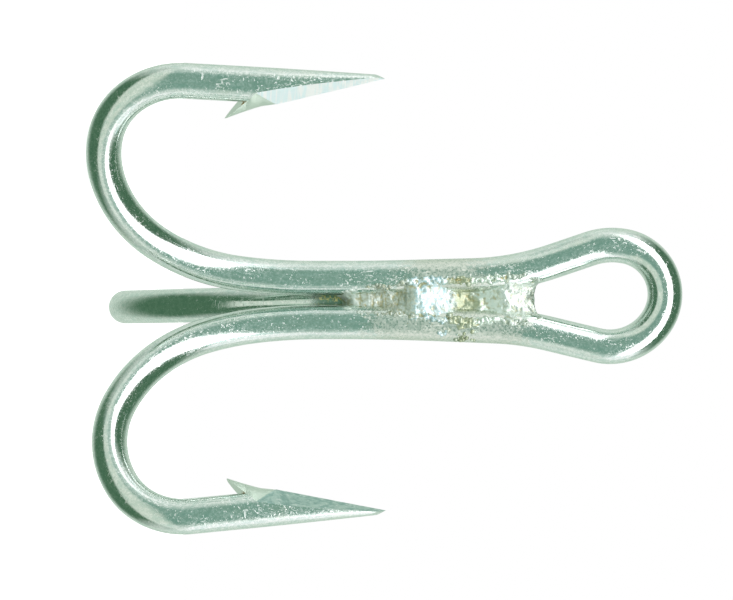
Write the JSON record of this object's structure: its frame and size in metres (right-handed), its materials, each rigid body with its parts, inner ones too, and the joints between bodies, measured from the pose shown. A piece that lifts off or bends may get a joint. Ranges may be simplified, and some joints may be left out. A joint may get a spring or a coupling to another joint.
{
  "type": "treble hook",
  "caption": "Brazed treble fishing hook: a double hook bent from one wire with a pear-shaped eye, and a single hook brazed behind its shanks; barbed, ground points.",
  "frame": {"origin": "on the middle line between the two front shanks, in the eye's own plane, level with the eye's round end; the centre of the largest circle that fits the eye is 0.3 mm to its -X side and 0.1 mm below it", "axes": "+Z runs along the shanks towards the eye; the eye lies in the XZ plane; +Y points the way the single hook stands out, and the other two hooks stand out to -X and +X, 30 degrees towards -Y"},
  "size_m": [0.0382, 0.0352, 0.0494],
  "materials": {
    "tinned_wire": "bright tin plate over steel wire, with drawing marks and small pits",
    "braze": "rough, frosty plated braze with beads"
  },
  "bodies": {
    "root": {"double_hook": "tinned_wire", "single_hook": "tinned_wire", "braze_front": "braze", "braze_left": "braze", "braze_right": "braze"}
  },
  "joints": []
}
